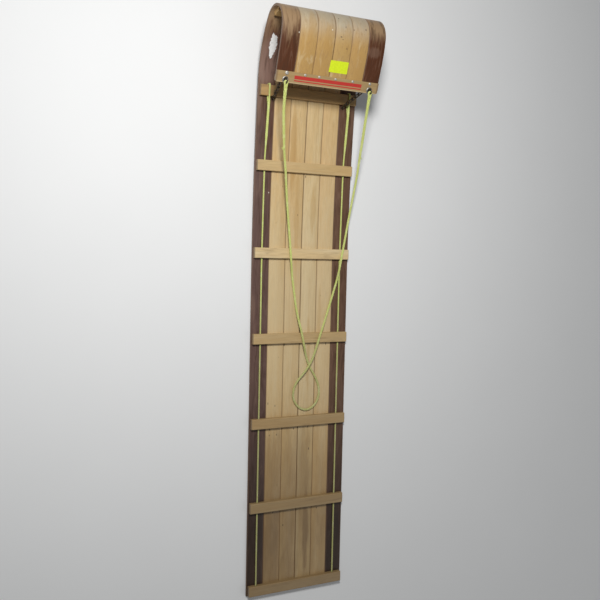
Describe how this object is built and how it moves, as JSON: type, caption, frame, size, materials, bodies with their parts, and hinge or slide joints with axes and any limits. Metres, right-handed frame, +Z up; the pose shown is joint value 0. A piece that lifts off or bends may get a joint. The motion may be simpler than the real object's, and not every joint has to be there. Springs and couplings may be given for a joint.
{
  "type": "wooden toboggan",
  "caption": "Flat wooden sled of long slats bent up into a curl at the front, held by cross cleats, with side ropes, short chains and a rope to tow it by.",
  "frame": {"origin": "middle of the length and width, on the level of the flat running side that it stands on", "axes": "+X across the deck, +Y from the tail towards the curl, +Z up off the deck"},
  "size_m": [0.456, 2.451, 0.2872],
  "materials": {
    "stained_wood": "dark stained and worn",
    "pale_wood": "clear varnish, worn",
    "cleat_wood": "clear varnish",
    "zinc_plate": "zinc plated",
    "dark_steel": "dull, tarnished",
    "rope": "braided polypropylene"
  },
  "bodies": {
    "root": {"slat_1": "stained_wood", "slat_6": "stained_wood", "slat_2": "pale_wood", "slat_3": "pale_wood", "slat_4": "pale_wood", "slat_5": "pale_wood", "cleat_1": "cleat_wood", "cleat_2": "cleat_wood", "cleat_3": "cleat_wood", "cleat_4": "cleat_wood", "cleat_5": "cleat_wood", "cleat_6": "cleat_wood", "cleat_front": "cleat_wood", "cleat_curl": "cleat_wood", "tip_bar": "cleat_wood", "eyelet_left": "zinc_plate", "bar_eye_left": "zinc_plate", "chain_eye_left": "dark_steel", "deck_eye_left": "dark_steel", "chain_left": "dark_steel", "side_rope_left": "rope", "splice_left": "rope", "eyelet_right": "zinc_plate", "bar_eye_right": "zinc_plate", "chain_eye_right": "dark_steel", "deck_eye_right": "dark_steel", "chain_right": "dark_steel", "side_rope_right": "rope", "splice_right": "rope", "tow_rope": "rope"}
  },
  "joints": []
}
